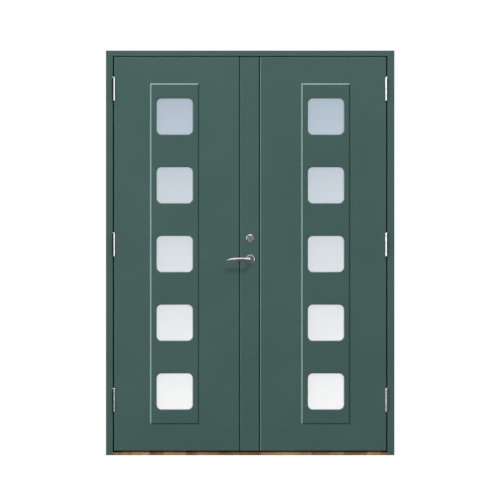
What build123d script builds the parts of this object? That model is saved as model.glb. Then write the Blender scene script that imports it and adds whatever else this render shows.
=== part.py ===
from build123d import *
import os
from math import atan2, cos, degrees, radians, sin

# Pair of painted front doors in a rebated timber frame with an oak threshold.
# All sizes are millimetres. X runs to the right seen from outside, Y into the house, Z up.
# The origin is on the underside of the threshold, at mid width and mid depth of the frame.

# Frame
frame_width = 1490.0
frame_height = 2090.0
frame_depth = 105.0
jamb_face = 35.5
head_face = 28.5
stop_lap = 11.0
arris = 0.6

# Running gaps round the leaves
side_gap = 7.0
head_gap = 5.0
sill_gap = 9.0
meeting_gap = 5.0
seat_gap = 6.0

# Threshold
sill_nose = 14.5
sill_nose_round = 3.0
sill_fall = 2.5
sill_stop_height = 33.0
sill_back_height = 27.0

# Leaves; meeting_x is where the gap between them lies, and their meeting edges are bevelled for the swing
core_thickness = 50.0
skin_thickness = 6.0
meeting_x = 48.5
meeting_bevel = 4.0
meeting_arris = 4.0

# Raised panels and the panes in them
panel_width = 253.0
panel_rise = 6.0
panel_bevel = 6.5
panel_hinge_margin = 185.5
panel_end_margin = 136.0
pane_count = 5
pane_size = 186.0
pane_corner = 25.0
pane_pitch = 355.0
pane_chamfer = 3.0
pane_cover = 6.5
glass_thickness = 36.0
glass_play = 0.5
collar_play = 0.3

# Strip on the lock stile
strip_width = 98.0
strip_thickness = 12.0
strip_groove = 5.0
strip_left_arris = 3.0
strip_right_arris = 2.0

# Lift-off hinges; each is placed by the joint between its two knuckles
hinge_count = 3
hinge_above_foot = 258.5
hinge_below_top = 166.5
knuckle_radius = 7.5
upper_knuckle = 65.0
lower_knuckle = 59.0
knuckle_dome = 4.0
knuckle_chamfer = 1.5
hinge_proud = 8.0
hinge_play = 0.5
pin_radius = 4.0
pin_length = 45.0
pin_root = 22.0
pin_play = 0.08
pin_end_room = 3.0
flag_thickness = 3.0
flag_depth = 42.0
flag_inset = 5.0
flag_top_inset = 10.0
flag_corner = 8.0

# Seals: a rounded bead on a stem that sits in a kerf
seal_width = 6.0
seal_round = 2.0
seal_clear = 1.0
seal_stem_width = 3.0
seal_stem_depth = 4.0
meeting_seal_depth = 16.0
meeting_seal_reach = 4.5

# Lock
lock_backset = 46.0
cylinder_rise = 108.0
ring_radius = 21.5
ring_thickness = 10.0
ring_bevel = 4.5
barrel_radius = 14.5
barrel_recess = 1.5
barrel_play = 0.25
rotor_radius = 6.5
rotor_drop = 6.5
rotor_groove = 0.6
key_slot_width = 2.6
key_slot_height = 10.0
key_slot_depth = 6.0
edge_plate_width = 22.0
edge_plate_corner = 10.0
edge_plate_thickness = 3.0
lock_plate_length = 235.0
strike_plate_length = 200.0
latch_width = 12.0
latch_height = 22.0
bolt_height = 30.0
bolt_length = 26.0
bolt_play = 0.4

# Handle
handle_height = 1011.0
rose_radius = 24.0
rose_thickness = 9.0
rose_round = 3.0
rose_dish_radius = 16.5
rose_dish_depth = 3.0
neck_radius = 9.5
neck_play = 0.25
spindle_side = 8.0
spindle_grip = 24.0
spindle_hole_radius = 8.0

# Lever; it bends off the neck, runs thin, swells into a wing and ends in a point
lever_length = 119.5
lever_rise = 47.0
lever_bend = 13.0
lever_root_half = 9.3
lever_root_thick = 9.0
lever_waist_along = 34.0
lever_waist_half = 7.5
lever_waist_thick = 6.2
lever_waist_lift = 1.8
lever_swell_along = 65.0
lever_swell_half = 9.1
lever_swell_thick = 5.8
lever_swell_drop = 0.2
lever_wing_along = 88.0
lever_wing_half = 10.4
lever_wing_thick = 5.2
lever_wing_drop = 2.9
lever_taper_along = 107.0
lever_taper_half = 7.2
lever_taper_thick = 3.8
lever_taper_drop = 4.2
lever_tip_half = 2.4
lever_tip_thick = 1.7
lever_tip_drop = 5.2
lever_bow = 1.8

# Fixing holes through the jambs
fixing_count = 4
fixing_radius = 7.0
fixing_depth = 34.0
fixing_above_foot = 150.0
fixing_below_top = 100.0

# Places that follow from the sizes
half_width = frame_width / 2
outside = -frame_depth / 2
inside = frame_depth / 2
leaf_back = outside + core_thickness + 2 * skin_thickness
leaf_mid_y = (outside + leaf_back) / 2
core_front = outside + skin_thickness
core_back = leaf_back - skin_thickness
stop_face = leaf_back + seat_gap
jamb_x = half_width - jamb_face
hinge_edge = jamb_x - side_gap
stop_x = hinge_edge - stop_lap
head_line = frame_height - head_face
leaf_bottom = sill_nose + sill_gap
leaf_top = head_line - head_gap
leaf_middle = (leaf_top + leaf_bottom) / 2
left_leaf_width = hinge_edge + meeting_x - meeting_gap / 2
right_leaf_width = hinge_edge - meeting_x - meeting_gap / 2
pin_x = -(jamb_x - side_gap / 2)
pin_y = outside - hinge_proud
panel_height = leaf_top - leaf_bottom - 2 * panel_end_margin
panel_x = -hinge_edge + panel_hinge_margin + panel_width / 2
glass_front = leaf_mid_y - glass_thickness / 2
glass_back = leaf_mid_y + glass_thickness / 2
glass_size = pane_size + 2 * pane_cover
glass_corner = pane_corner + pane_cover
strip_left = -hinge_edge + left_leaf_width - strip_width
strip_back = outside + strip_thickness
groove_left = strip_left - strip_groove
handle_x = -hinge_edge + left_leaf_width - lock_backset
cylinder_height = handle_height + cylinder_rise
lock_middle = (handle_height + cylinder_height) / 2
bevel_angle = degrees(atan2(meeting_bevel, leaf_back - outside))


def spread(first, last, count):
    return [first + (last - first) * number / (count - 1) for number in range(count)]


hinge_names = ("low", "middle", "top")
hinge_splits = spread(leaf_bottom + hinge_above_foot, leaf_top - hinge_below_top, hinge_count)
fixing_heights = spread(fixing_above_foot, frame_height - fixing_below_top, fixing_count)
pane_reach = pane_pitch * (pane_count - 1) / 2
pane_heights = spread(leaf_middle - pane_reach, leaf_middle + pane_reach, pane_count)


# Basic solids: a block, a prism standing up, one lying along X, and one through the door along Y
def block(x0, x1, y0, y1, z0, z1):
    size = Box(x1 - x0, y1 - y0, z1 - z0, align=(Align.MIN, Align.MIN, Align.MIN))
    return Pos(x0, y0, z0) * size


def upright(points, z0, z1):
    plan = make_face(Polyline(*points, close=True))
    return Pos(0, 0, z0) * extrude(plan, amount=z1 - z0)


def lengthwise(points, x0, x1):
    profile = Plane.YZ * make_face(Polyline(*points, close=True))
    return Pos(x0, 0, 0) * extrude(profile, amount=x1 - x0)


def crosswise(sketch, y0, y1):
    back = Plane(origin=(0, max(y0, y1), 0), x_dir=(1, 0, 0), z_dir=(0, -1, 0))
    return extrude(back * sketch, amount=abs(y1 - y0))


def rod(radius, x, z, y0, y1):
    return crosswise(Pos(x, z) * Circle(radius), y0, y1)


def post(radius, x, y, z0, z1):
    return Pos(x, y, z0) * Cylinder(radius, z1 - z0, align=(Align.CENTER, Align.CENTER, Align.MIN))


def swapped(solid):
    return mirror(solid, about=Plane.YZ)


# Hinges, drawn for the left side: a flag let into the wood carries each knuckle
def flag(x0, z0, z1):
    plate = block(x0, x0 + flag_thickness, pin_y, outside + flag_depth, z0, z1)
    corners = plate.edges().filter_by(Axis.X).group_by(Axis.Y)[-1]
    return fillet(corners, flag_corner)


def frame_flag(split):
    return flag(-jamb_x - flag_thickness, split - lower_knuckle + flag_inset, split - flag_inset)


def leaf_flag(split):
    return flag(-hinge_edge, split + flag_inset, split + upper_knuckle - flag_top_inset)


def hinge_frame_half(split):
    knuckle = post(knuckle_radius, pin_x, pin_y, split - lower_knuckle, split)
    knuckle = chamfer(knuckle.edges().group_by(Axis.Z)[0], knuckle_chamfer)
    pin = post(pin_radius, pin_x, pin_y, split - pin_root, split + pin_length)
    pin = chamfer(pin.edges().group_by(Axis.Z)[-1], knuckle_chamfer)
    return knuckle + pin + frame_flag(split)


def hinge_leaf_half(split):
    knuckle = post(knuckle_radius, pin_x, pin_y, split + hinge_play, split + upper_knuckle)
    knuckle = fillet(knuckle.edges().group_by(Axis.Z)[-1], knuckle_dome)
    bore = post(pin_radius + pin_play, pin_x, pin_y, split, split + pin_length + pin_end_room)
    return knuckle + leaf_flag(split) - bore


# Seals along the stops, drawn for the left jamb and for a cross piece at height z
seal_nose = stop_face - seat_gap + seal_clear
seal_x = -(hinge_edge + stop_x) / 2
head_seal_z = leaf_top - stop_lap / 2
sill_seal_z = (leaf_bottom + sill_stop_height) / 2


def jamb_kerf():
    half = seal_stem_width / 2
    return block(seal_x - half, seal_x + half, stop_face, stop_face + seal_stem_depth, leaf_bottom, leaf_top)


def jamb_seal():
    half = seal_width / 2
    bead = block(seal_x - half, seal_x + half, seal_nose, stop_face, leaf_bottom, leaf_top)
    bead = fillet(bead.edges().filter_by(Axis.Z).group_by(Axis.Y)[0], seal_round)
    return bead + jamb_kerf()


def cross_kerf(z):
    half = seal_stem_width / 2
    return block(-stop_x, stop_x, stop_face, stop_face + seal_stem_depth, z - half, z + half)


def cross_seal(z):
    half = seal_width / 2
    bead = block(-stop_x, stop_x, seal_nose, stop_face, z - half, z + half)
    bead = fillet(bead.edges().filter_by(Axis.X).group_by(Axis.Y)[0], seal_round)
    return bead + cross_kerf(z)


# Frame: the head lies on the jambs, the threshold sits between them
def jamb():
    plan = [
        (-half_width, outside),
        (-jamb_x, outside),
        (-jamb_x, stop_face),
        (-stop_x, stop_face),
        (-stop_x, inside),
        (-half_width, inside),
    ]
    body = upright(plan, 0, head_line)
    body = chamfer(body.faces().sort_by(Axis.Y)[0].edges().filter_by(Axis.Z), arris)
    for split in hinge_splits:
        body -= frame_flag(split)
    for height in fixing_heights:
        hole = Plane.YZ * Pos(outside + fixing_depth, height) * Circle(fixing_radius)
        body -= Pos(-half_width, 0, 0) * extrude(hole, amount=jamb_face)
    return body - jamb_kerf()


def frame_head():
    beam = block(-half_width, half_width, outside, inside, head_line, frame_height)
    beam = chamfer(beam.faces().sort_by(Axis.Y)[0].edges().filter_by(Axis.X), arris)
    stop = block(-stop_x, stop_x, stop_face, inside, leaf_top - stop_lap, head_line)
    return beam + stop - cross_kerf(head_seal_z)


def threshold():
    tread_profile = [
        (outside, 0),
        (outside, sill_nose),
        (stop_face, sill_nose + sill_fall),
        (stop_face, 0),
    ]
    stop_profile = [
        (stop_face, 0),
        (stop_face, sill_stop_height),
        ((stop_face + inside) / 2, sill_stop_height),
        (inside, sill_back_height),
        (inside, 0),
    ]
    tread = lengthwise(tread_profile, -jamb_x, jamb_x)
    nose = tread.faces().sort_by(Axis.Y)[0].edges().filter_by(Axis.X).sort_by(Axis.Z)[-1]
    tread = fillet(nose, sill_nose_round)
    return tread + lengthwise(stop_profile, -stop_x, stop_x) - cross_kerf(sill_seal_z)


# Leaves, drawn for the left side: the hinge edge stays and the meeting edge follows the width
def meeting_edge(width, y):
    return -hinge_edge + width - meeting_bevel * (y - outside) / (leaf_back - outside)


def leaf_layer(x0, width, y0, y1):
    plan = [
        (x0, y0),
        (meeting_edge(width, y0), y0),
        (meeting_edge(width, y1), y1),
        (x0, y1),
    ]
    return upright(plan, leaf_bottom, leaf_top)


def glass_hole(z, y0, y1):
    size = glass_size + 2 * glass_play
    return crosswise(Pos(panel_x, z) * RectangleRounded(size, size, glass_corner + glass_play), y0, y1)


def with_glass_holes(body, y0, y1):
    for z in pane_heights:
        body -= glass_hole(z, y0, y1)
    return body


def with_hinge_seats(body):
    for split in hinge_splits:
        body -= leaf_flag(split)
    return body


def leaf_core(width):
    body = leaf_layer(-hinge_edge, width, core_front, core_back)
    return with_hinge_seats(with_glass_holes(body, core_front, core_back))


def leaf_inner_skin(width):
    body = leaf_layer(-hinge_edge, width, core_back, leaf_back)
    body = chamfer(body.faces().sort_by(Axis.Y)[-1].outer_wire().edges(), arris)
    return with_glass_holes(body, core_back, leaf_back)


def leaf_outer_skin(width, stile_arris):
    body = leaf_layer(-hinge_edge, width, outside, core_front)
    rim = body.faces().sort_by(Axis.Y)[0].outer_wire().edges().sort_by(Axis.X)
    body = chamfer(rim[:-1], arris)
    stile = body.faces().sort_by(Axis.Y)[0].outer_wire().edges().sort_by(Axis.X)[-1]
    body = chamfer(stile, stile_arris)
    return with_hinge_seats(with_glass_holes(body, outside, core_front))


# Raised panels: a bevelled plate with a collar round each pane that reaches in to the glass
def raised_panel(face_y, outward, glass_face):
    base = Plane(origin=(panel_x, face_y, leaf_middle), x_dir=(1, 0, 0), z_dir=(0, outward, 0))
    taper = degrees(atan2(panel_bevel, panel_rise))
    plate = extrude(base * Rectangle(panel_width, panel_height), amount=panel_rise, taper=taper)
    top_y = face_y + outward * panel_rise
    top = Plane(origin=(0, top_y, 0), x_dir=(1, 0, 0), z_dir=(0, -1, 0))
    collar_size = glass_size + 2 * (glass_play - collar_play)
    mouth_size = pane_size + 2 * pane_chamfer
    for z in pane_heights:
        collar = Pos(panel_x, z) * RectangleRounded(collar_size, collar_size, glass_corner)
        hole = Pos(panel_x, z) * RectangleRounded(pane_size, pane_size, pane_corner)
        mouth = Pos(panel_x, z) * RectangleRounded(mouth_size, mouth_size, pane_corner + pane_chamfer)
        plate += crosswise(collar, face_y, glass_face)
        plate -= crosswise(hole, top_y, glass_face)
        plate -= extrude(top * mouth, amount=outward * pane_chamfer, taper=45)
    return plate


def pane(z):
    outline = Pos(panel_x, z) * RectangleRounded(glass_size, glass_size, glass_corner)
    return crosswise(outline, glass_front, glass_back)


# Lock stile strip, seated in a step along the meeting edge of the left leaf
def strip_step():
    edge = meeting_edge(left_leaf_width, outside)
    return block(groove_left, edge, outside, strip_back, leaf_bottom, leaf_top)


def lock_stile_strip():
    body = leaf_layer(strip_left, left_leaf_width, outside, strip_back)
    left = body.faces().sort_by(Axis.Y)[0].edges().filter_by(Axis.Z).sort_by(Axis.X)[0]
    body = chamfer(left, strip_left_arris)
    right = body.faces().sort_by(Axis.Y)[0].edges().filter_by(Axis.Z).sort_by(Axis.X)[-1]
    return chamfer(right, strip_right_arris)


def meeting_seal():
    y0 = outside + meeting_seal_depth - seal_width / 2
    y1 = y0 + seal_width
    root = meeting_edge(left_leaf_width, y1)
    tip = meeting_edge(left_leaf_width, outside) + meeting_seal_reach
    bead = block(root, tip, y0, y1, leaf_bottom, leaf_top)
    bead = fillet(bead.edges().filter_by(Axis.Z).group_by(Axis.X)[-1], seal_round)
    y0 += (seal_width - seal_stem_width) / 2
    return bead + block(root - seal_stem_depth, root, y0, y0 + seal_stem_width, leaf_bottom, leaf_top)


# Lock parts let into the bevelled meeting edges
def on_meeting_edge(width, z, solid):
    return Pos(meeting_edge(width, leaf_mid_y), leaf_mid_y, z) * Rot(0, 0, bevel_angle) * solid


def edge_plate(width, length):
    plate = Box(edge_plate_thickness, edge_plate_width, length, align=(Align.MAX, Align.CENTER, Align.CENTER))
    plate = fillet(plate.edges().filter_by(Axis.X), edge_plate_corner)
    return on_meeting_edge(width, lock_middle, plate)


def edge_bolts(width, play):
    def bolt(height, z):
        deep = bolt_length + play
        wide = latch_width + 2 * play
        high = height + 2 * play
        return on_meeting_edge(width, z, Box(deep, wide, high, align=(Align.MAX, Align.CENTER, Align.CENTER)))

    return [bolt(latch_height, handle_height), bolt(bolt_height, cylinder_height)]


def lock_holes(y0, y1):
    spindle_hole = rod(spindle_hole_radius, handle_x, handle_height, y0, y1)
    return spindle_hole + rod(barrel_radius + barrel_play, handle_x, cylinder_height, y0, y1)


def cylinder_ring(face_y, outward):
    front_y = face_y + outward * ring_thickness
    disc = rod(ring_radius, handle_x, cylinder_height, face_y, front_y)
    rims = disc.edges().filter_by(GeomType.CIRCLE).sort_by(Axis.Y)
    disc = chamfer(rims[0] if outward < 0 else rims[-1], ring_bevel)
    return disc - rod(barrel_radius + barrel_play, handle_x, cylinder_height, face_y, front_y)


def lock_cylinder():
    proud = ring_thickness - barrel_recess
    barrel = rod(barrel_radius, handle_x, cylinder_height, outside - proud, leaf_back + proud)
    rotor_z = cylinder_height - rotor_drop
    slot = Pos(handle_x, rotor_z) * Rectangle(key_slot_width, key_slot_height)
    rotor = Circle(rotor_radius + rotor_groove) - Circle(rotor_radius)
    groove = Pos(handle_x, rotor_z) * rotor
    for end_y, inward in ((outside - proud, 1), (leaf_back + proud, -1)):
        barrel -= crosswise(slot, end_y, end_y + inward * key_slot_depth)
        barrel -= crosswise(groove, end_y, end_y + inward * rotor_groove)
    return barrel


# Handle on one face of the leaf; outward is -1 on the outside and 1 on the inside
def handle_rose(face_y, outward):
    front_y = face_y + outward * rose_thickness
    disc = rod(rose_radius, handle_x, handle_height, face_y, front_y)
    rims = disc.edges().filter_by(GeomType.CIRCLE).sort_by(Axis.Y)
    disc = fillet(rims[0] if outward < 0 else rims[-1], rose_round)
    disc -= rod(rose_dish_radius, handle_x, handle_height, front_y - outward * rose_dish_depth, front_y)
    return disc - rod(neck_radius + neck_play, handle_x, handle_height, face_y, front_y)


def lever_arm(face_y, outward):
    def section(along, rise, drop, turn, half_height, half_thickness):
        middle = (handle_x - along, face_y + outward * rise, handle_height - drop)
        ahead = (-sin(radians(turn)), outward * cos(radians(turn)), 0)
        across = (-cos(radians(turn)), -outward * sin(radians(turn)), 0)
        return Plane(origin=middle, x_dir=across, z_dir=ahead) * Ellipse(half_thickness, half_height)

    corner = lever_bend * (1 - cos(radians(45)))
    bowed = lever_rise + lever_bow
    taper_rise = lever_rise - lever_bow
    tip_rise = taper_rise - lever_bow
    return loft(
        [
            section(0, lever_rise - lever_bend, 0, 0, lever_root_half, lever_root_thick),
            section(corner, lever_rise - corner, 0, 45, lever_root_half, lever_root_thick),
            section(lever_bend, lever_rise, 0, 90, lever_root_half, lever_root_thick),
            section(lever_waist_along, bowed, -lever_waist_lift, 90, lever_waist_half, lever_waist_thick),
            section(lever_swell_along, bowed, lever_swell_drop, 90, lever_swell_half, lever_swell_thick),
            section(lever_wing_along, lever_rise, lever_wing_drop, 90, lever_wing_half, lever_wing_thick),
            section(lever_taper_along, taper_rise, lever_taper_drop, 90, lever_taper_half, lever_taper_thick),
            section(lever_length, tip_rise, lever_tip_drop, 90, lever_tip_half, lever_tip_thick),
        ]
    )


def lever(face_y, outward):
    root_y = face_y + outward * neck_play
    bend_y = face_y + outward * (lever_rise - lever_bend)
    neck = rod(neck_radius, handle_x, handle_height, root_y, bend_y)
    square = Pos(handle_x, handle_height) * Rectangle(spindle_side, spindle_side)
    socket = crosswise(square, face_y, face_y + outward * spindle_grip)
    return neck + lever_arm(face_y, outward) - socket


def lever_spindle():
    square = Pos(handle_x, handle_height) * Rectangle(spindle_side, spindle_side)
    return crosswise(square, outside - spindle_grip, leaf_back + spindle_grip)


# Write one file a piece
os.makedirs("parts", exist_ok=True)


def save(name, *solids):
    piece = solids[0] if len(solids) == 1 else Compound(children=list(solids))
    export_step(piece, f"parts/{name}.step")


# Frame
left_jamb = jamb()
left_jamb_seal = jamb_seal()
save("frame_head", frame_head())
save("left_jamb", left_jamb)
save("right_jamb", swapped(left_jamb))
save("threshold", threshold())
save("left_jamb_seal", left_jamb_seal)
save("right_jamb_seal", swapped(left_jamb_seal))
save("head_seal", cross_seal(head_seal_z))
save("threshold_seal", cross_seal(sill_seal_z))

# Hinges
for name, split in zip(hinge_names, hinge_splits):
    frame_half = hinge_frame_half(split)
    leaf_half = hinge_leaf_half(split)
    save(f"left_{name}_hinge_frame_half", frame_half)
    save(f"left_{name}_hinge_leaf_half", leaf_half)
    save(f"right_{name}_hinge_frame_half", swapped(frame_half))
    save(f"right_{name}_hinge_leaf_half", swapped(leaf_half))

# Raised panels and panes, the same on both leaves
outer_panel = raised_panel(outside, -1, glass_front)
inner_panel = raised_panel(leaf_back, 1, glass_back)
panes = [pane(z) for z in pane_heights]
save("left_leaf_outer_panel", outer_panel)
save("left_leaf_inner_panel", inner_panel)
save("left_leaf_panes", *panes)
save("right_leaf_outer_panel", swapped(outer_panel))
save("right_leaf_inner_panel", swapped(inner_panel))
save("right_leaf_panes", *[swapped(glass) for glass in panes])

# Left leaf with the lock
left_seal = meeting_seal()
lock_plate = edge_plate(left_leaf_width, lock_plate_length)
left_core = leaf_core(left_leaf_width) - strip_step() - left_seal - lock_plate
left_core -= lock_holes(core_front, core_back)
for pocket in edge_bolts(left_leaf_width, bolt_play):
    left_core -= pocket
    lock_plate -= pocket
save("left_leaf_core", left_core)
save("left_leaf_outer_skin", leaf_outer_skin(groove_left + hinge_edge, arris))
save("left_leaf_inner_skin", leaf_inner_skin(left_leaf_width) - lock_holes(core_back, leaf_back))
save("lock_stile_strip", lock_stile_strip() - lock_holes(outside, strip_back))
save("meeting_seal", left_seal)
save("lock_face_plate", lock_plate)
save("latch_and_bolt", *edge_bolts(left_leaf_width, 0))

# Right leaf with the strike plate
strike_plate = edge_plate(right_leaf_width, strike_plate_length)
right_core = leaf_core(right_leaf_width) - strike_plate
for pocket in edge_bolts(right_leaf_width, bolt_play):
    right_core -= pocket
    strike_plate -= pocket
save("right_leaf_core", swapped(right_core))
save("right_leaf_outer_skin", swapped(leaf_outer_skin(right_leaf_width, meeting_arris)))
save("right_leaf_inner_skin", swapped(leaf_inner_skin(right_leaf_width)))
save("strike_plate", swapped(strike_plate))

# Handle and cylinder
for side, face_y, outward in (("outer", outside, -1), ("inner", leaf_back, 1)):
    save(f"{side}_handle_rose", handle_rose(face_y, outward))
    save(f"{side}_cylinder_ring", cylinder_ring(face_y, outward))
    save(f"{side}_lever", lever(face_y, outward))
save("lock_cylinder", lock_cylinder())
save("lever_spindle", lever_spindle())
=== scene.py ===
import math
import bmesh
import bpy
from mathutils import Matrix, Vector


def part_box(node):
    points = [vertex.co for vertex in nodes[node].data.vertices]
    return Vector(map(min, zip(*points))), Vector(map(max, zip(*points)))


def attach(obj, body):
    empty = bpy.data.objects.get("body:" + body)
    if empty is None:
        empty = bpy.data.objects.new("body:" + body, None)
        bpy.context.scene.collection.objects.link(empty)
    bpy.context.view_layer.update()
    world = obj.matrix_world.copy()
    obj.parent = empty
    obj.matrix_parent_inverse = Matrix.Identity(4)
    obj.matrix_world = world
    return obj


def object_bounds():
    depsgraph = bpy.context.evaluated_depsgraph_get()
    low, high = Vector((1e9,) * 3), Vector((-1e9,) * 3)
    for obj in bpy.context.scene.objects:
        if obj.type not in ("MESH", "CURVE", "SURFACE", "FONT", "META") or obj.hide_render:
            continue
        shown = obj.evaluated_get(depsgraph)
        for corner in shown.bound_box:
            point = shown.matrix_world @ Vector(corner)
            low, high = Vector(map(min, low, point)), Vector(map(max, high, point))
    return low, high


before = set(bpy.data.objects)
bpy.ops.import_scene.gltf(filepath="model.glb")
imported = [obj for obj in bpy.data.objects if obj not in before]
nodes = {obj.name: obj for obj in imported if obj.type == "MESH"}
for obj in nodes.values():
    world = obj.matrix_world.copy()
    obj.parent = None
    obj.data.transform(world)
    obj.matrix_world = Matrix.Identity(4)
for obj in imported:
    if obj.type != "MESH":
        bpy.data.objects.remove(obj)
cad_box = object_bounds()

# Threshold
# The sill is glued up from short lengths of oak, end to end, planed with a rounded nose and oiled.
# The lengths differ from pale to brown, with streaks of grain and fine dark pores along the opening.


def shade(red, green, blue):
    """A colour given as it looks on a screen, 0 to 255, as the linear values that a shader takes."""

    def linear(value):
        share = value / 255
        if share <= 0.04045:
            return share / 12.92
        return ((share + 0.055) / 1.055) ** 2.4

    return (linear(red), linear(green), linear(blue), 1.0)


def new_finish(name):
    finish = bpy.data.materials.new(name)
    finish.use_nodes = True
    return finish


def add_node(finish, kind, sockets=None, **settings):
    """A new node; each socket takes a plain value or the output of another node."""
    made = finish.node_tree.nodes.new(kind)
    for setting, value in settings.items():
        setattr(made, setting, value)
    for socket, value in (sockets or {}).items():
        if isinstance(value, bpy.types.NodeSocket):
            finish.node_tree.links.new(value, made.inputs[socket])
        else:
            made.inputs[socket].default_value = value
    return made


def surface(finish, sockets):
    """Sets the sockets of the finish's own shader."""
    shader = finish.node_tree.nodes["Principled BSDF"]
    for socket, value in sockets.items():
        if isinstance(value, bpy.types.NodeSocket):
            finish.node_tree.links.new(value, shader.inputs[socket])
        else:
            shader.inputs[socket].default_value = value


def place_on(finish, stretch):
    """Places on the piece itself, in metres, multiplied by stretch along each direction."""
    spot = add_node(finish, "ShaderNodeTexCoord").outputs["Object"]
    return add_node(finish, "ShaderNodeMapping", {"Vector": spot, "Scale": stretch}).outputs["Vector"]


def noise(finish, stretch, detail=2.0, roughness=0.5):
    """Noise on the piece, finer along a direction as its stretch grows."""
    spot = place_on(finish, stretch)
    sockets = {"Vector": spot, "Scale": 1.0, "Detail": detail, "Roughness": roughness}
    return add_node(finish, "ShaderNodeTexNoise", sockets).outputs["Fac"]


def between(finish, share, low, high, from_low=0.3, from_high=0.7):
    """A number from low to high as the share goes over its usual spread."""
    sockets = {
        "Value": share,
        "From Min": from_low,
        "From Max": from_high,
        "To Min": low,
        "To Max": high,
    }
    return add_node(finish, "ShaderNodeMapRange", sockets).outputs["Result"]


def colours(finish, share, *stops):
    """A colour that blends from stop to stop, each a position and a colour."""
    ramp = add_node(finish, "ShaderNodeValToRGB", {"Fac": share})
    steps = ramp.color_ramp.elements
    while len(steps) < len(stops):
        steps.new(0.5)
    for step, (position, colour) in zip(steps, stops):
        step.position = position
        step.color = colour
    return ramp.outputs["Color"]


def relief(finish, height, depth, strength=1.0):
    """A bump of the given depth, for marks too fine to model."""
    sockets = {"Height": height, "Distance": depth, "Strength": strength}
    return add_node(finish, "ShaderNodeBump", sockets).outputs["Normal"]


def dress(finish, *names):
    """Gives the named nodes this finish alone."""
    for name in names:
        nodes[name].data.materials.clear()
        nodes[name].data.materials.append(finish)


oak_pale = shade(201, 163, 110)
oak_middle = shade(157, 123, 78)
oak_brown = shade(119, 85, 46)

lengths_in_metre = 15.0
length_share = 0.55

oak = new_finish("oiled_oak")
along = add_node(oak, "ShaderNodeSeparateXYZ", {"Vector": place_on(oak, (1.0, 1.0, 1.0))}).outputs["X"]
lengths = add_node(
    oak, "ShaderNodeTexVoronoi", {"W": along, "Scale": lengths_in_metre}, voronoi_dimensions="1D"
).outputs["Color"]
streaks = noise(oak, (30.0, 120.0, 60.0), detail=6.0, roughness=0.6)
mixed = {"Factor": length_share, "A": streaks, "B": lengths}
wood = add_node(oak, "ShaderNodeMix", mixed, data_type="FLOAT").outputs["Result"]
pores = noise(oak, (60.0, 1500.0, 1500.0), detail=2.0)
surface(oak, {
    "Base Color": colours(oak, wood, (0.34, oak_brown), (0.5, oak_middle), (0.66, oak_pale)),
    "Roughness": between(oak, pores, 0.42, 0.62),
    "Normal": relief(oak, pores, depth=0.0002, strength=0.4),
    "Specular IOR Level": 0.35,
})
dress(oak, "threshold")

# Frame
# Two jambs and a head of laminated pine, rebated for the leaves and sprayed with green satin paint.
# The grain still shows as a faint ripple along each length, under the fine peel of the spray.

paint_deep = shade(63, 88, 84)
paint_bright = shade(67, 92, 88)


def green_paint(name, ripple_stretch, ripple_depth):
    """Sprayed paint: a faint cloud of colour, the ripple of what is below it, and spray peel."""
    finish = new_finish(name)
    cloud = noise(finish, (3.0, 3.0, 3.0), detail=3.0)
    peel = noise(finish, (650.0, 650.0, 650.0))
    ripple = noise(finish, ripple_stretch, detail=3.0)
    grained = relief(finish, ripple, ripple_depth)
    peeled = add_node(finish, "ShaderNodeBump", {
        "Height": peel, "Distance": 0.00006, "Strength": 0.5, "Normal": grained,
    }).outputs["Normal"]
    surface(finish, {
        "Base Color": colours(finish, cloud, (0.3, paint_deep), (0.7, paint_bright)),
        "Roughness": between(finish, peel, 0.38, 0.48),
        "Normal": peeled,
        "Specular IOR Level": 0.22,
    })
    return finish


grain_fine = 160.0
grain_long = 4.0
grain_depth = 0.00008
upright_grain = (grain_fine, grain_fine, grain_long)
crosswise_grain = (grain_long, grain_fine, grain_fine)
upright_paint = green_paint("green_paint_upright", upright_grain, grain_depth)
crosswise_paint = green_paint("green_paint_crosswise", crosswise_grain, grain_depth)
dress(upright_paint, "left_jamb", "right_jamb")
dress(crosswise_paint, "frame_head")

# Seals
# Extruded beads of dull black rubber, with faint drawn lines, are pushed into kerfs along the stops
# and along the lock edge of the left leaf. The one between the leaves has a thin lip that reaches
# towards the right leaf and shuts the slit between them.

seal_black = shade(20, 21, 21)
seal_worn = shade(32, 33, 33)

rubber = new_finish("seal_rubber")
bloom = noise(rubber, (25.0, 25.0, 25.0), detail=4.0)
drawn = noise(rubber, (900.0, 900.0, 900.0))
surface(rubber, {
    "Base Color": colours(rubber, bloom, (0.35, seal_black), (0.7, seal_worn)),
    "Roughness": between(rubber, bloom, 0.62, 0.78),
    "Normal": relief(rubber, drawn, depth=0.0001, strength=0.4),
    "Specular IOR Level": 0.3,
})
dress(rubber, "head_seal", "left_jamb_seal", "right_jamb_seal", "threshold_seal", "meeting_seal")

lip_root = 0.0006
lip_reach = 0.00135
lip_sweep = 0.0007
lip_root_half = 0.0005
lip_tip_half = 0.0003
lip_steps = 6


def drawn_lip(name, finish, low, high):
    """A thin curved fin drawn along Z, from inside the bead's tip at the box's far side."""
    middle_y = (low.y + high.y) / 2
    front = []
    back = []
    for step in range(lip_steps + 1):
        share = step / lip_steps
        x = high.x - lip_root + (lip_root + lip_reach) * share
        y = middle_y - lip_sweep * share ** 2
        half = lip_root_half + (lip_tip_half - lip_root_half) * share
        front.append((x, y - half))
        back.append((x, y + half))
    outline = front + back[::-1]
    count = len(outline)
    foot = [(x, y, low.z) for x, y in outline]
    top = [(x, y, high.z) for x, y in outline]
    walls = []
    for spot in range(count):
        after = (spot + 1) % count
        walls.append((spot, after, after + count, spot + count))
    ends = [tuple(range(count))[::-1], tuple(range(count, 2 * count))]
    mesh = bpy.data.meshes.new(name)
    mesh.from_pydata(foot + top, [], walls + ends)
    mesh.materials.append(finish)
    return bpy.data.objects.new(name, mesh)


meeting_lip = drawn_lip("meeting_seal_lip", rubber, *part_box("meeting_seal"))
bpy.context.scene.collection.objects.link(meeting_lip)
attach(meeting_lip, "left_leaf")

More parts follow.
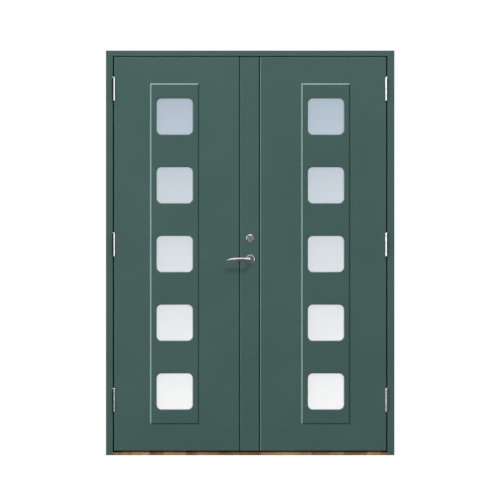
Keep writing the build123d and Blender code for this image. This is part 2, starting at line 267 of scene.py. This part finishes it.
# Hinges
# Six lift-off hinges of satin steel: a turned knuckle and a flag on the jamb, and the same on the leaf.
# Each flag is let in flush and held by three raised screws with a cross recess.

steel_dull = shade(226, 226, 224)
steel_clean = shade(238, 238, 237)
flag_screw_radius = 0.0041
flag_screw_rise = 0.0008
flag_middle_offset = 0.0295
flag_screw_spots = ((0.011, -0.014), (0.031, 0.0), (0.011, 0.014))
upper_knuckle = 0.065


def rings_along_z(finish):
    """Fine turning marks round a line along Z."""
    return noise(finish, (300.0, 300.0, 2600.0))


def satin_steel(name, clean, dull, smooth, rough, tool_marks=rings_along_z):
    """Bare metal with fine tool marks, and handled patches between a clean and a dull tone."""
    finish = new_finish(name)
    marks = tool_marks(finish)
    smear = noise(finish, (60.0, 60.0, 60.0), detail=4.0)
    surface(finish, {
        "Base Color": colours(finish, smear, (0.35, dull), (0.65, clean)),
        "Metallic": 1.0,
        "Roughness": between(finish, marks, smooth, rough),
        "Normal": relief(finish, marks, depth=0.000004),
    })
    return finish


def screw_head(name, finish, radius, rise):
    """A low domed head with a cross recess, its foot on the origin and its axis along Z."""
    rings = 14
    spokes = 48
    arm_reach = 0.62 * radius
    arm_half = 0.13 * radius
    recess = 1.6 * rise
    mesh = bmesh.new()

    def height(x, y):
        out = math.hypot(x, y)
        dome = rise * (1 - (out / radius) ** 2)
        narrow = min(abs(x), abs(y))
        in_cross = narrow < arm_half and out < arm_reach
        return dome - (recess if in_cross else 0)

    rows = []
    for ring in range(1, rings + 1):
        out = radius * ring / rings
        turns = [2 * math.pi * spoke / spokes for spoke in range(spokes)]
        spots = [(out * math.cos(turn), out * math.sin(turn)) for turn in turns]
        rows.append([mesh.verts.new((x, y, height(x, y))) for x, y in spots])
    centre = mesh.verts.new((0, 0, height(0, 0)))
    for spoke in range(spokes):
        after = (spoke + 1) % spokes
        mesh.faces.new((centre, rows[0][spoke], rows[0][after]))
        for inner, outer in zip(rows, rows[1:]):
            mesh.faces.new((inner[spoke], outer[spoke], outer[after], inner[after]))
    mesh.faces.new(rows[-1][::-1])
    head = bpy.data.meshes.new(name)
    mesh.to_mesh(head)
    mesh.free()
    head.materials.append(finish)
    return head


def set_screw(name, mesh, spot, facing, body):
    """Sets a screw on a spot, with its head towards facing, to move with a body."""
    screw = bpy.data.objects.new(name, mesh)
    screw.matrix_world = Matrix.Translation(spot) @ facing.to_track_quat("Z", "Y").to_matrix().to_4x4()
    bpy.context.scene.collection.objects.link(screw)
    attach(screw, body)


hinge_steel = satin_steel("hinge_steel", steel_clean, steel_dull, smooth=0.15, rough=0.22)
flag_screw = screw_head("flag_screw", hinge_steel, flag_screw_radius, flag_screw_rise)
door_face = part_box("left_jamb")[0].y

for side, inward, edge in (("left", 1, 0), ("right", -1, 1)):
    jamb_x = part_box("threshold")[edge].x
    leaf_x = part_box(f"{side}_leaf_core")[edge].x
    to_leaf = Vector((inward, 0, 0))
    for height in ("low", "middle", "top"):
        frame_half = f"{side}_{height}_hinge_frame_half"
        leaf_half = f"{side}_{height}_hinge_leaf_half"
        dress(hinge_steel, frame_half, leaf_half)
        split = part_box(leaf_half)[1].z - upper_knuckle
        for number, (depth, lift) in enumerate(flag_screw_spots):
            name = f"{side}_{height}_hinge_screw_{number}"
            low_spot = Vector((jamb_x, door_face + depth, split - flag_middle_offset + lift))
            high_spot = Vector((leaf_x, door_face + depth, split + flag_middle_offset + lift))
            set_screw(f"{name}_frame", flag_screw, low_spot, to_leaf, "frame")
            set_screw(f"{name}_leaf", flag_screw, high_spot, -to_leaf, f"{side}_leaf")

# Leaves
# Each leaf is a glued core between two smooth board skins, sprayed green all over.
# Only the spray peel shows on the skins; the long edges keep a trace of the wood below.

board_ripple = (14.0, 14.0, 14.0)
board_ripple_depth = 0.00003
skin_paint = green_paint("green_paint_skin", board_ripple, board_ripple_depth)
for side in ("left", "right"):
    dress(upright_paint, f"{side}_leaf_core")
    dress(skin_paint, f"{side}_leaf_outer_skin", f"{side}_leaf_inner_skin")

# Raised panels
# A bevelled board stands 6 mm proud on each face and carries the five windows of the leaf.
# It is moulded with its bevel in one piece and takes the same sprayed paint.

for side in ("left", "right"):
    dress(skin_paint, f"{side}_leaf_outer_panel", f"{side}_leaf_inner_panel")

# Panes
# Sealed units with a satin-etched outer glass, so nothing shows through but the light.
# Their base colour is painted daylight, from blue grey at the top of the door to white at its foot.

# Painted daylight in the glass colour: blue grey at the top of the panes, white at their foot.
painted_daylight_top = shade(179, 193, 206)
painted_daylight_foot = shade(254, 254, 254)
fade_above_foot = 0.0235
fade_below_top = 0.0135
glass_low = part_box("left_leaf_panes")[0].z + fade_above_foot
glass_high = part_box("left_leaf_panes")[1].z - fade_below_top

frosted_glass = new_finish("frosted_glass")
spot = add_node(frosted_glass, "ShaderNodeTexCoord").outputs["Object"]
lift = add_node(frosted_glass, "ShaderNodeSeparateXYZ", {"Vector": spot}).outputs["Z"]
share = between(frosted_glass, lift, 0.0, 1.0, glass_low, glass_high)
frost = noise(frosted_glass, (1400.0, 1400.0, 1400.0))
surface(frosted_glass, {
    # The base colour fades with height, as painted daylight.
    "Base Color": colours(frosted_glass, share, (0.0, painted_daylight_foot), (1.0, painted_daylight_top)),
    "Roughness": between(frosted_glass, frost, 0.26, 0.34),
    "Normal": relief(frosted_glass, frost, depth=0.00002, strength=0.3),
    "Transmission Weight": 0.92,
    "IOR": 1.45,
})
dress(frosted_glass, "left_leaf_panes", "right_leaf_panes")

# Lock stile strip
# A painted strip 98 mm wide stands on the lock edge of the left leaf beside a shadow groove.
# Its long edges are eased, and it takes the handle and the cylinder.

dress(skin_paint, "lock_stile_strip")

# Lock
# The mortice lock shows a steel face plate with its latch and bolt, and the right leaf has the
# strike plate. Both plates are let in flush and held by a screw at each end.

plate_screw_radius = 0.0042
plate_screw_rise = 0.0007
plate_screw_end = 0.012
plate_half_thickness = 0.0015
meeting_bevel = 0.004
leaf_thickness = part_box("left_leaf_inner_skin")[1].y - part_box("left_leaf_outer_skin")[0].y
edge_lean = math.atan2(meeting_bevel, leaf_thickness)

plate_screw = screw_head("plate_screw", hinge_steel, plate_screw_radius, plate_screw_rise)
dress(hinge_steel, "lock_face_plate", "latch_and_bolt", "strike_plate")
for plate, body, outward in (("lock_face_plate", "left_leaf", 1), ("strike_plate", "right_leaf", -1)):
    low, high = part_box(plate)
    middle = (low + high) / 2
    facing = Vector((outward * math.cos(edge_lean), math.sin(edge_lean), 0))
    for end, z in (("low", low.z + plate_screw_end), ("high", high.z - plate_screw_end)):
        spot = Vector((middle.x, middle.y, z)) + facing * plate_half_thickness
        set_screw(f"{plate}_screw_{end}", plate_screw, spot, facing, body)

# Cylinder
# A bevelled ring guards each end of the lock cylinder, whose rotor sits low and has the key slot.
# The ring is turned nickel and shines more than the satin face of the cylinder.

nickel_dull = shade(222, 221, 221)
nickel_clean = shade(234, 233, 233)
face_dull = shade(172, 170, 170)
face_clean = shade(190, 188, 188)

ring_marks_in_metre = 2600.0


def rings_round(node):
    """Fine turning marks round the middle of a node, about a line along Y."""
    low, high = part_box(node)
    middle = (low + high) / 2

    def tool_marks(finish):
        ends = {0: place_on(finish, (1.0, 0.0, 1.0)), 1: (middle.x, 0.0, middle.z)}
        out = add_node(finish, "ShaderNodeVectorMath", ends, operation="DISTANCE").outputs["Value"]
        wave = {"W": out, "Scale": ring_marks_in_metre}
        return add_node(finish, "ShaderNodeTexNoise", wave, noise_dimensions="1D").outputs["Fac"]

    return tool_marks


round_cylinder = rings_round("outer_cylinder_ring")
turned_nickel = satin_steel(
    "turned_nickel", nickel_clean, nickel_dull, smooth=0.2, rough=0.28, tool_marks=round_cylinder
)
satin_nickel = satin_steel(
    "satin_nickel", face_clean, face_dull, smooth=0.42, rough=0.52, tool_marks=round_cylinder
)
dress(turned_nickel, "outer_cylinder_ring", "inner_cylinder_ring")
dress(satin_nickel, "lock_cylinder")

# Handle
# A cast and polished lever turns in a dished satin rose on each face, both on one square spindle.
# A small hexagon socket screw under each neck clamps the lever to the spindle.

polished_dull = shade(226, 224, 224)
polished_clean = shade(240, 238, 238)
clamp_screw_radius = 0.0026
clamp_screw_proud = 0.0001
clamp_screw_height = 0.0008
clamp_socket_radius = 0.0015
clamp_socket_depth = 0.0007
clamp_from_face = 0.022
neck_radius = 0.0095


def socket_screw(name, finish, radius, height, socket_radius, socket_depth):
    """The end of a round screw with a hexagon socket, its face on the origin and its axis along Z."""
    sides = 6
    spokes = 48
    mesh = bmesh.new()

    def ring(reach, z):
        turns = [2 * math.pi * spoke / spokes for spoke in range(spokes)]
        spots = [(reach(turn) * math.cos(turn), reach(turn) * math.sin(turn), z) for turn in turns]
        return [mesh.verts.new(spot) for spot in spots]

    def round_reach(turn):
        return radius

    def hexagon_reach(turn):
        half_side = math.pi / sides
        return socket_radius * math.cos(half_side) / math.cos(turn % (2 * half_side) - half_side)

    rings = [
        ring(round_reach, -height),
        ring(round_reach, 0),
        ring(hexagon_reach, 0),
        ring(hexagon_reach, -socket_depth),
    ]
    for outer, inner in zip(rings, rings[1:]):
        for spoke in range(spokes):
            after = (spoke + 1) % spokes
            mesh.faces.new((outer[spoke], outer[after], inner[after], inner[spoke]))
    mesh.faces.new(rings[-1])
    mesh.faces.new(rings[0][::-1])
    end = bpy.data.meshes.new(name)
    mesh.to_mesh(end)
    mesh.free()
    end.materials.append(finish)
    return end


handle_steel = satin_steel("handle_steel", polished_clean, polished_dull, smooth=0.1, rough=0.18)
dress(handle_steel, "outer_lever", "inner_lever", "lever_spindle")
round_rose = rings_round("outer_handle_rose")
rose_steel = satin_steel(
    "rose_steel", polished_clean, polished_dull, smooth=0.24, rough=0.32, tool_marks=round_rose
)
dress(rose_steel, "outer_handle_rose", "inner_handle_rose")

clamp_screw = socket_screw(
    "clamp_screw", handle_steel,
    clamp_screw_radius, clamp_screw_height, clamp_socket_radius, clamp_socket_depth,
)
spindle_low, spindle_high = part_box("lever_spindle")
spindle_middle = (spindle_low + spindle_high) / 2
below_neck = spindle_middle.z - neck_radius - clamp_screw_proud
outer_clamp = door_face - clamp_from_face
inner_clamp = door_face + leaf_thickness + clamp_from_face
for side, clamp_y in (("outer", outer_clamp), ("inner", inner_clamp)):
    spot = Vector((spindle_middle.x, clamp_y, below_neck))
    set_screw(f"{side}_clamp_screw", clamp_screw, spot, Vector((0, 0, -1)), "lever")

# Floor, light and camera
# A pale floor fades into a white background. Far lights from the left and above catch the bevels,
# a soft one and a key light the faces, and one stands behind. Raised panels and round metal have
# lights of their own, and dark cards shade the metal. The camera looks straight on.


def shown_rays(owner):
    """1 on rays that show the background: from the camera, in gloss or through glass. 0 on others."""
    path = add_node(owner, "ShaderNodeLightPath").outputs
    first = {0: path["Is Camera Ray"], 1: path["Is Glossy Ray"]}
    seen = add_node(owner, "ShaderNodeMath", first, operation="MAXIMUM").outputs["Value"]
    second = {0: seen, 1: path["Is Transmission Ray"]}
    return add_node(owner, "ShaderNodeMath", second, operation="MAXIMUM").outputs["Value"]


def flat(name, low, high, finish):
    """A rectangle of the stage between two opposite corners that share one coordinate."""
    spans = [axis for axis in range(3) if low[axis] != high[axis]]
    second = list(low)
    second[spans[0]] = high[spans[0]]
    fourth = list(low)
    fourth[spans[1]] = high[spans[1]]
    mesh = bpy.data.meshes.new(name)
    mesh.from_pydata([low, second, high, fourth], [], [(0, 1, 2, 3)])
    mesh.materials.append(finish)
    piece = bpy.data.objects.new(name, mesh)
    bpy.context.scene.collection.objects.link(piece)
    return piece


def lamp(name, spot, width, height, power):
    """A flat light on a spot, turned towards the middle of the door."""
    light = bpy.data.lights.new(name, "AREA")
    light.shape = "RECTANGLE"
    light.size = width
    light.size_y = height
    light.energy = power
    stand = bpy.data.objects.new(name, light)
    stand.location = spot
    stand.rotation_euler = (door_middle - Vector(spot)).to_track_quat("-Z", "Y").to_euler()
    bpy.context.scene.collection.objects.link(stand)
    return stand


def card(name, low, high):
    """A dark card that shows only in gloss, to give the metal its dark side."""
    piece = flat(name, low, high, dark_card)
    piece.visible_camera = False
    piece.visible_diffuse = False
    piece.visible_transmission = False
    piece.visible_shadow = False


def light_group(name, pieces, state):
    """Pieces that a light takes alone, or leaves out."""
    group = bpy.data.collections.new(name)
    for piece in pieces:
        group.objects.link(piece)
    for entry in group.collection_objects:
        entry.light_linking.link_state = state
    return group


ambient = 0.08
floor_reach = 5.0
floor_level = -0.0005
floor_fade_start = 2.2
floor_fade_end = 4.6
floor_colour = 0.95
floor_bounce = 0.42
card_tone = 0.06
card_reach = 4.5
front_card_away = 5.0
front_card_top = 2.5
floor_card_level = 0.01
right_card_out = 1.6
right_card_front = -0.6
right_card_back = 0.3
right_card_top = 3.0
hinge_card_out = 0.728
hinge_card_front = -0.3
hinge_card_back = -0.05
metal_light_aside = 3.0
metal_light_front = -1.7
metal_light_lift = 1.65
picture_width = 2.5825
camera_spot = (-0.0009, -4.0, 1.0598)
door_middle = (Vector(cad_box[0]) + Vector(cad_box[1])) / 2

world = bpy.data.worlds.new("studio")
world.use_nodes = True
strength = between(world, shown_rays(world), ambient, 1.0, 0.0, 1.0)
sky = world.node_tree.nodes["Background"]
sky.inputs["Color"].default_value = (1, 1, 1, 1)
world.node_tree.links.new(strength, sky.inputs["Strength"])
bpy.context.scene.world = world

floor_pale = new_finish("floor_pale")
tone = between(floor_pale, shown_rays(floor_pale), floor_bounce, floor_colour, 0.0, 1.0)
surface(floor_pale, {"Base Color": tone, "Roughness": 0.8, "Specular IOR Level": 0.0})
spot = place_on(floor_pale, (1.0, 1.0, 1.0))
far = add_node(floor_pale, "ShaderNodeVectorMath", {0: spot}, operation="LENGTH").outputs["Value"]
fade = between(floor_pale, far, 0.0, 1.0, floor_fade_start, floor_fade_end)
solid = floor_pale.node_tree.nodes["Principled BSDF"].outputs["BSDF"]
clear = add_node(floor_pale, "ShaderNodeBsdfTransparent").outputs["BSDF"]
faded = add_node(floor_pale, "ShaderNodeMixShader", {"Fac": fade, 1: solid, 2: clear}).outputs["Shader"]
floor_pale.node_tree.links.new(faded, floor_pale.node_tree.nodes["Material Output"].inputs["Surface"])
floor_low = (-floor_reach, -floor_reach, floor_level)
floor_high = (floor_reach, floor_reach, floor_level)
floor = flat("floor", floor_low, floor_high, floor_pale)

bare_finishes = (hinge_steel, turned_nickel, satin_nickel, handle_steel, rose_steel)
meshes = [piece for piece in bpy.context.scene.objects if piece.type == "MESH"]
bare_metal = [piece for piece in meshes if piece.data.materials[0] in bare_finishes]
in_gaps = [nodes["left_leaf_core"], nodes["right_leaf_core"], nodes["threshold"]]
panels = [nodes["left_leaf_outer_panel"], nodes["right_leaf_outer_panel"]]
raised = bare_metal + panels + [nodes["lock_stile_strip"]]
unlit = light_group("unlit_by_bevel_lights", bare_metal + in_gaps + [floor], "EXCLUDE")
shadowless = light_group("shadowless_in_bevel_lights", raised, "EXCLUDE")
left_light = lamp("left_light", spot=(-28.0, -3.2, 5.7), width=9.0, height=18.0, power=13300.0)
top_light = lamp("top_light", spot=(0, -1.6, 15.0), width=9.0, height=4.5, power=3500.0)
for bevel_light in (left_light, top_light):
    bevel_light.light_linking.receiver_collection = unlit
    bevel_light.light_linking.blocker_collection = shadowless

soft_light = lamp("soft_light", spot=(-7.0, -10.5, 1.3), width=7.0, height=2.4, power=600.0)
key_light = lamp("key_light", spot=(3.3, -10.3, 12.9), width=2.0, height=2.0, power=1080.0)
back_light = lamp("back_light", spot=(1.5, 7.0, 4.6), width=6.0, height=6.0, power=400.0)
panel_light = lamp("panel_light", spot=(-8.0, -9.0, 9.0), width=2.0, height=2.0, power=820.0)
passed_by_key = light_group("passed_by_key_light", panels, "EXCLUDE")
key_light.light_linking.receiver_collection = passed_by_key
key_light.light_linking.blocker_collection = passed_by_key
panel_light.light_linking.receiver_collection = light_group("raised_panels", panels, "INCLUDE")
for front_light in (soft_light, key_light, panel_light):
    front_light.visible_glossy = False
back_light.visible_transmission = False

dark_card = new_finish("dark_card")
card_colour = (card_tone, card_tone, card_tone, 1)
surface(dark_card, {"Base Color": card_colour, "Roughness": 0.9, "Specular IOR Level": 0.0})
near_left = (-card_reach, -front_card_away, floor_card_level)
card("floor_card", near_left, (card_reach, door_face, floor_card_level))
card("front_card", near_left, (card_reach, -front_card_away, front_card_top))
right_low = (right_card_out, right_card_front, 0)
right_high = (right_card_out, right_card_back, right_card_top)
card("right_card", right_low, right_high)
rims = {"left": ("outer_cylinder_ring", "lock_cylinder", "outer_handle_rose"), "right": ()}
for side, outward in (("left", -1), ("right", 1)):
    beside = outward * hinge_card_out
    round_metal = [nodes[name] for name in rims[side]]
    for height in ("low", "middle", "top"):
        frame_half = f"{side}_{height}_hinge_frame_half"
        leaf_half = f"{side}_{height}_hinge_leaf_half"
        round_metal += [nodes[frame_half], nodes[leaf_half]]
        low = (beside, hinge_card_front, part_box(frame_half)[0].z)
        high = (beside, hinge_card_back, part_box(leaf_half)[1].z)
        card(f"{side}_{height}_hinge_card", low, high)
    spot = (-outward * metal_light_aside, metal_light_front, metal_light_lift)
    metal_light = lamp(f"{side}_metal_light", spot, width=5.0, height=2.4, power=80.0)
    lit_metal = light_group(f"{side}_round_metal", round_metal, "INCLUDE")
    metal_light.light_linking.receiver_collection = lit_metal

view = bpy.data.cameras.new("view")
view.type = "ORTHO"
view.ortho_scale = picture_width
camera = bpy.data.objects.new("view", view)
camera.location = camera_spot
camera.rotation_euler = (math.radians(90), 0, 0)
bpy.context.scene.collection.objects.link(camera)
bpy.context.scene.camera = camera
bpy.context.scene.view_settings.view_transform = "Standard"
